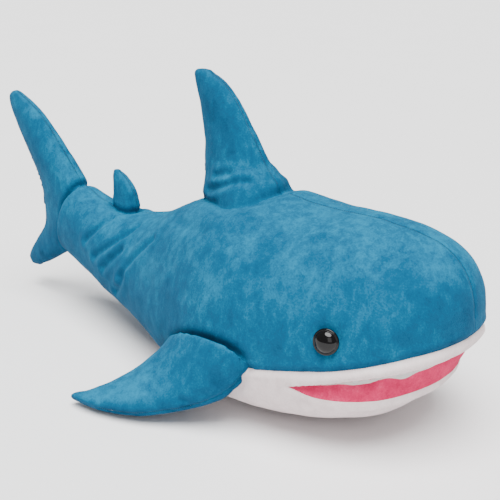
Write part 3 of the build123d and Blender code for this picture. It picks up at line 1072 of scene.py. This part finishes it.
# %% [markdown]
# A finish is one Principled shader with a few patterns behind it. The class below adds any node in
# one line, and has a short name for the few nodes that every finish here needs. The nodes could be
# wired one by one as well, but then each finish would take a page.

# %% One class for all finishes
class Finish:
    """A material with one Principled shader, and ways to feed it."""

    def __init__(self, name, **constants):
        self.material = bpy.data.materials.new(name)
        self.material.use_nodes = True
        self.tree = self.material.node_tree
        self.shader = self.tree.nodes["Principled BSDF"]
        for socket, value in constants.items():
            self.shader.inputs[socket.replace("_", " ")].default_value = value

    def node(self, kind, settings=None, values=None, output=0):
        """Add a node, set it, fill its sockets, and return one output."""
        node = self.tree.nodes.new(kind)
        for key, value in (settings or {}).items():
            setattr(node, key, value)
        for socket, value in (values or {}).items():
            if isinstance(value, Value):
                self.tree.links.new(value.socket, node.inputs[socket])
            else:
                node.inputs[socket].default_value = value
        return Value(self, node.outputs[output])

    def place(self, scale=(1, 1, 1), turn=(0, 0, 0)):
        """Object coordinates, stretched or turned."""
        coords = self.node("ShaderNodeTexCoord", output="Object")
        places = {"Vector": coords, "Scale": scale, "Rotation": turn}
        return self.node("ShaderNodeMapping", {}, places)

    def noise(self, place, scale, detail=2.0, roughness=0.5, distortion=0.0):
        """Noise between 0 and 1."""
        sizes = {"Vector": place, "Scale": scale, "Detail": detail,
                 "Roughness": roughness, "Distortion": distortion}
        return self.node("ShaderNodeTexNoise", {}, sizes, "Fac")

    def ramp(self, value, low, high):
        """Soft step from 0 to 1 as value goes from low to high."""
        settings = {"interpolation_type": "SMOOTHSTEP"}
        sizes = {"Value": value, "From Min": low, "From Max": high}
        return self.node("ShaderNodeMapRange", settings, sizes)

    def mixed(self, factor, one, two):
        """Colour between two colours."""
        return self.node("ShaderNodeMix", {"data_type": "RGBA"}, {0: factor, 6: one, 7: two}, 2)

    def bump(self, height, strength, distance):
        """Fine relief."""
        sizes = {"Height": height, "Strength": strength, "Distance": distance}
        return self.node("ShaderNodeBump", {}, sizes)

    def feed(self, **links):
        """Connect outputs to the shader."""
        for socket, value in links.items():
            self.tree.links.new(value.socket, self.shader.inputs[socket.replace("_", " ")])
        return self.material


print("short names:", [name for name in vars(Finish) if not name.startswith("_")])

# %% [markdown]
# Velvet is a mat of short fibres. Brushed one way it is lighter and the other way darker, so hands
# leave soft patches and streaks all over it. Large noise gives the patches, stretched noise the
# brush streaks, and very fine noise the fibre ends, which also give the relief. Sheen is what makes
# the edges glow.

# %% Velvet
PATCH_SHARE, STREAK_SHARE, GRAIN_SHARE = 0.36, 0.38, 0.26
PAINTED_TOP_LIGHT = 0.12  # painted light: the velvet is made lighter where it faces up, as if lit from above
PAINTED_LIGHT_OFFSET = 0.02  # taken off, so that the painted top light doesn't lighten the whole shark
NAP_RANGE = 0.18  # how far from the middle the nap and the painted top light reach the darkest and lightest colour


def velvet(name, dark, middle, light, sheen, patches=11.0, contrast=1.0):
    """Short-pile velvet with brushed patches, made lighter where it faces up as painted top light.
    """
    cloth = Finish(name, Roughness=0.92, Sheen_Weight=sheen, Sheen_Roughness=0.38,
                   Specular_IOR_Level=0.18)
    cloth.shader.inputs["Sheen Tint"].default_value = light
    patch = cloth.noise(cloth.place(), patches, 3.0, 0.6, 0.5)
    streak = cloth.noise(cloth.place((1.3, 1.3, 0.7), (0.3, 0.5, 0.2)), 60.0, 4.0, 0.65, 0.4)
    grain = cloth.noise(cloth.place(), 420.0, 3.0, 0.6)
    fibre = cloth.noise(cloth.place(), 1700.0, 2.0, 0.6)
    # Painted light: the upward part of the surface's direction lifts the colour, standing in for
    # light from above.
    facing = cloth.node("ShaderNodeNewGeometry", output="Normal")
    painted_top_light_mask = cloth.node("ShaderNodeSeparateXYZ", {}, {"Vector": facing}, "Z")
    nap_and_painted_light = (patch * PATCH_SHARE + streak * STREAK_SHARE + grain * GRAIN_SHARE
           + painted_top_light_mask * PAINTED_TOP_LIGHT - PAINTED_LIGHT_OFFSET)
    darker = cloth.ramp(nap_and_painted_light, 0.5 - NAP_RANGE / contrast, 0.53)
    lighter = cloth.ramp(nap_and_painted_light, 0.48, 0.5 + NAP_RANGE / contrast)
    colour = cloth.mixed(lighter, cloth.mixed(darker, dark, middle), light)
    relief = grain * 0.6 + fibre * 0.4 + streak * 0.5
    return cloth.feed(Base_Color=colour, Normal=cloth.bump(relief, 0.55, 0.0012))


# The lighter colours also serve as painted top light where the velvet faces up.
BLUE_DARK, BLUE, BLUE_LIGHT = linear(0, 52, 82), linear(0, 76, 110), linear(4, 112, 146)
WHITE_DARK, WHITE = linear(208, 192, 193), linear(224, 210, 210)
WHITE_LIGHT = linear(236, 226, 226)
PINK_DARK, PINK, PINK_LIGHT = linear(176, 26, 70), linear(206, 44, 92), linear(226, 78, 120)
blue_velvet = velvet("blue_velvet_nap_and_painted_light", BLUE_DARK, BLUE, BLUE_LIGHT,
                     sheen=0.16, contrast=0.8)
white_velvet = velvet("white_velvet_nap_and_painted_light", WHITE_DARK, WHITE, WHITE_LIGHT,
                      sheen=0.2, patches=14.0, contrast=0.9)
pink_velvet = velvet("pink_velvet_nap_and_painted_light", PINK_DARK, PINK, PINK_LIGHT,
                     sheen=0.3, patches=22.0, contrast=0.9)
print("velvets:", blue_velvet.name, white_velvet.name, pink_velvet.name)

# %% [markdown]
# The other finishes are plain: polished black plastic with the faintest waviness for the eyes, a
# milky washer, twisted thread, and the white fibre inside.

# %% Plastic, thread and fibre
def eye_plastic():
    """Polished black plastic with fine rubbing marks."""
    plastic = Finish("polished_black", IOR=1.42, Coat_Roughness=0.04, Specular_IOR_Level=0.42)
    rubbed = plastic.noise(plastic.place((1, 1, 6)), 160.0, 3.0)
    tone = plastic.mixed(rubbed, linear(3, 3, 4), linear(9, 8, 10))
    wavy = plastic.noise(plastic.place(), 55.0)
    shine = rubbed * 0.06 + 0.05
    return plastic.feed(Base_Color=tone, Roughness=shine, Normal=plastic.bump(wavy, 0.08, 0.0006))


def washer_plastic():
    """Milky moulded plastic."""
    plastic = Finish("milky_plastic", Specular_IOR_Level=0.4)
    cloudy = plastic.noise(plastic.place(), 90.0, 3.0)
    tone = plastic.mixed(cloudy, linear(206, 204, 196), linear(228, 227, 222))
    return plastic.feed(Base_Color=tone, Roughness=cloudy * 0.2 + 0.35,
                        Normal=plastic.bump(cloudy, 0.2, 0.0004))


def thread(name, dark, light):
    """Twisted sewing thread."""
    yarn = Finish(name, Sheen_Weight=0.3, Specular_IOR_Level=0.3)
    twist = yarn.noise(yarn.place(), 2600.0, 1.0)
    return yarn.feed(Base_Color=yarn.mixed(twist, dark, light), Roughness=twist * 0.2 + 0.6,
                     Normal=yarn.bump(twist, 0.6, 0.0003))


def fibre_filling():
    """Loose white polyester fibre."""
    fibre = Finish("loose_fibre", Sheen_Weight=0.5, Specular_IOR_Level=0.2)
    tangle = fibre.noise(fibre.place((1, 1, 2.5)), 240.0, 5.0, 0.7, 2.0)
    clump = fibre.noise(fibre.place(), 26.0, 3.0)
    tone = fibre.mixed(tangle * 0.6 + clump * 0.4, linear(214, 214, 210), linear(244, 244, 242))
    return fibre.feed(Base_Color=tone, Roughness=tangle * 0.1 + 0.85,
                      Normal=fibre.bump(tangle + clump, 0.9, 0.004))


eye_black = eye_plastic()
milky = washer_plastic()
fibre = fibre_filling()
blue_thread = thread("blue_thread", linear(0, 44, 72), linear(4, 66, 98))
white_thread = thread("white_thread", linear(190, 182, 182), linear(222, 216, 214))
print("materials:", len(bpy.data.materials))

# %% [markdown]
# Every seam on the real shark is held by thread, white along the belly and blue elsewhere. A fin's
# seam lines are known from its stations, but the velvet has been plumped since, so each point of a
# line is first moved onto the nearest skin. Where a fin goes into the body the thread stops.

# %% Stitches in every seam
THREAD_LIFT = 0.15 * MM


def on_skin(chain, pieces, out):
    """Move each point of a chain onto the nearest of the pieces, and a little out of it."""
    trees = [BVHTree.FromObject(piece, bpy.context.evaluated_depsgraph_get()) for piece in pieces]
    placed = []
    for point in chain:
        hits = [tree.find_nearest(Vector(point)) for tree in trees]
        where, normal, index, gap = min(hits, key=lambda hit: hit[3])
        placed.append(np.array(where) + np.array(normal) * out)
    return np.array(placed)


def fin_seam(fin, stations, keep):
    """Stitches down the front and back seams of a fin, where keep(points) is true."""
    skins = [piece for name, piece in fin_velvets.items() if name.startswith(f"{fin}_velvet")]
    chains = []
    for line in outline(stations, 90):
        chain = line * MM
        chains.append(on_skin(chain[keep(chain / MM)], skins, THREAD_LIFT))
    return stitches(f"{fin}_stitches", chains, blue_thread)


edge_chains = [on_skin(forward_chain(edge), [body_panels["belly_velvet"]], THREAD_LIFT)
               for edge in (edge_left, edge_right)]
edge_stitches = stitches("belly_edge_stitches", edge_chains, white_thread)
ridge_chains = [forward_chain(part) + (0, 0, THREAD_LIFT) for part in (head_ridge, stock_ridge)]
ridge_stitches = stitches("back_seam_stitches", ridge_chains, blue_thread)
fin_stitches = {
    "dorsal_fin": fin_seam("dorsal_fin", DORSAL_STATIONS,
                           lambda at: at[:, 2] > 304 - 0.1 * (160 - at[:, 0])),
    "second_dorsal_fin": fin_seam("second_dorsal_fin", SECOND_DORSAL_STATIONS,
                                  lambda at: at[:, 2] > 222),
    "tail_fin": fin_seam("tail_fin", TAIL_FIN_STATIONS,
                         lambda at: (at[:, 0] < -330) | (at[:, 2] > 245)),
}
for side, word in ((1, "left"), (-1, "right")):
    stations = [(lead * (1, side, 1), trail * (1, side, 1), half, weight)
                for lead, trail, half, weight in pectoral_stations()]
    fin_stitches[f"pectoral_fin_{word}"] = fin_seam(f"pectoral_fin_{word}", stations,
                                                    lambda at: np.abs(at[:, 1]) > 186)
print("seams stitched:", 2 + len(fin_stitches))

# %% [markdown]
# Every piece now gets its finish. The back, the belly and the filling cross the tail hinge, but
# here they and the stitches are only baked in place. The mouth and the eyes are far from any hinge
# and simply ride on the trunk.


def dress(piece, finish):
    """One finish all over a piece."""
    piece.data.materials.clear()
    piece.data.materials.append(finish)


def bend_at_tail(piece):
    """Bake the piece's placement into its own mesh."""
    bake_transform(piece)


for side in ("left", "right"):
    panel = body_panels[f"back_velvet_{side}"]
    dress(panel, blue_velvet)
    bend_at_tail(panel)
    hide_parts(f"back_panel_{side}", f"tail_panel_{side}")
    dress(eyes[side], eye_black)
    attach(eyes[side], "trunk")
    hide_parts(f"eye_{side}")
    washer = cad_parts[f"eye_washer_{side}"]
    washer.data.materials.clear()
    washer.data.materials.append(milky)
dress(body_panels["belly_velvet"], white_velvet)
bend_at_tail(body_panels["belly_velvet"])
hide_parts("belly_panel")
dress(body_panels["mouth_velvet"], pink_velvet)
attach(body_panels["mouth_velvet"], "trunk")
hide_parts("mouth_lining")
dress(body_filling, fibre)
bend_at_tail(body_filling)
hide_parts("trunk_filling", "tail_filling")
for piece in (edge_stitches, ridge_stitches):
    bend_at_tail(piece)
print("body pieces joined")

# %% [markdown]
# A fin's velvet is sewn to the body, so it must stay with the body at its root and follow the fin
# further out. Riding on the fin alone would tear it off the body whenever the fin leans. Here each
# fin's panels, stitches and filling only get their finish and are baked in place.

# %% Join the fins
DORSAL_UP = Vector((-0.207, 0, 0.978))
SECOND_DORSAL_UP = Vector((0, 0, 1))
TAIL_FIN_BACK = Vector((-0.947, 0, 0.32))
PECTORAL_OUT = Vector((-0.25, 0.775, -0.58)).normalized()
PECTORAL_HINGE = Vector((0.154, 0.1708, 0.0788))
UPRIGHT, FLAT = ("left", "right"), ("upper", "lower")
OTHER_SIDE = Vector((1, -1, 1))
# Fin, body it grows from, its panels, hinge, way it grows, and how far before and after the hinge
# the bend starts and ends, in metres.
FIN_JOINS = [
    ("dorsal_fin", "trunk", UPRIGHT, Vector((0.0865, 0, 0.292)), DORSAL_UP, 0.012, 0.045),
    ("second_dorsal_fin", "tail", UPRIGHT, Vector((-0.168, 0, 0.2165)), SECOND_DORSAL_UP,
     0.004, 0.014),
    ("tail_fin", "tail", UPRIGHT, Vector((-0.312, 0, 0.1657)), TAIL_FIN_BACK, 0.012, 0.03),
    ("pectoral_fin_left", "trunk", FLAT, PECTORAL_HINGE, PECTORAL_OUT, 0.012, 0.04),
    ("pectoral_fin_right", "trunk", FLAT, OTHER_SIDE * PECTORAL_HINGE, OTHER_SIDE * PECTORAL_OUT,
     0.012, 0.04),
]
for fin, grows_from, sides, hinge, way, before, after in FIN_JOINS:
    for side in sides:
        panel = fin_velvets[f"{fin}_velvet_{side}"]
        dress(panel, blue_velvet)
        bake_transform(panel)
        node = f"{fin}_panel_{side}" if sides is UPRIGHT else f"{fin}_{side}_panel"
        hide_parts(node)
    thread_row = fin_stitches[fin]
    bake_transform(thread_row)
    filling = fin_fillings[fin]
    dress(filling, fibre)
    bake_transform(filling)
    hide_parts(f"{fin}_filling")
print("fins joined:", len(FIN_JOINS))

# %% [markdown]
# The stage is a plain pale floor, as in a product studio. One very soft light from above leaves the
# back bright and the belly in gentle shade, and a small weak one in front gives the eyes a glint.

# %% Floor and light
FLOOR_REACH = 30.0


def floor():
    """Large pale floor."""
    mesh = bpy.data.meshes.new("studio_floor")
    corners = [(-FLOOR_REACH, -FLOOR_REACH, 0), (FLOOR_REACH, -FLOOR_REACH, 0),
               (FLOOR_REACH, FLOOR_REACH, 0), (-FLOOR_REACH, FLOOR_REACH, 0)]
    mesh.from_pydata(corners, [], [(0, 1, 2, 3)])
    plane = bpy.data.objects.new("studio_floor", mesh)
    scene.collection.objects.link(plane)
    paint = Finish("pale_floor", Roughness=0.9)
    cloudy = paint.noise(paint.place(), 2.0)
    tone = paint.mixed(cloudy, linear(243, 243, 243), linear(247, 247, 247))
    mesh.materials.append(paint.feed(Base_Color=tone))


def soft_light(name, place, aim, size, power):
    """Square area light that looks at a point."""
    lamp = bpy.data.lights.new(name, "AREA")
    lamp.shape = "SQUARE"
    lamp.size = size
    lamp.energy = power
    item = bpy.data.objects.new(name, lamp)
    scene.collection.objects.link(item)
    item.location = place
    item.rotation_euler = (Vector(place) - Vector(aim)).to_track_quat("Z", "Y").to_euler()


floor()
world = bpy.data.worlds.new("studio")
world.use_nodes = True
air = world.node_tree.nodes["Background"]
air.inputs["Color"].default_value = (1, 1, 1, 1)
air.inputs["Strength"].default_value = 0.4
scene.world = world
sky = bpy.data.lights.new("ceiling_light", "SUN")
sky.energy = 7.5
sky.angle = math.radians(48)
ceiling = bpy.data.objects.new("ceiling_light", sky)
scene.collection.objects.link(ceiling)
ceiling.rotation_euler = (math.radians(12), math.radians(8), 0)
soft_light("front", place=(1.6, -1.5, 1.1), aim=(0.2, 0, 0.15), size=1.2, power=8)
print("lights:", len(bpy.data.lights))

# %% [markdown]
# The camera stands in front of the shark's right side and looks down on it a little, so that its
# face, its back and one flank are all seen. A long lens keeps the tail from looking too small.

# %% Camera
lens = bpy.data.cameras.new("studio_camera")
lens.sensor_width = 36
lens.lens = 63.4
camera = bpy.data.objects.new("studio_camera", lens)
scene.collection.objects.link(camera)
camera.location = (0.928, -0.941, 0.622)
camera.rotation_euler = (math.radians(71), 0, math.radians(41))
scene.camera = camera
print("camera:", [round(c, 3) for c in camera.location])

# %% [markdown]
# Velvet may stand a little proud of the packed model, but the shark must not grow. The last step
# only brings the scene up to date.

# %% Bring the scene up to date
bpy.context.view_layer.update()
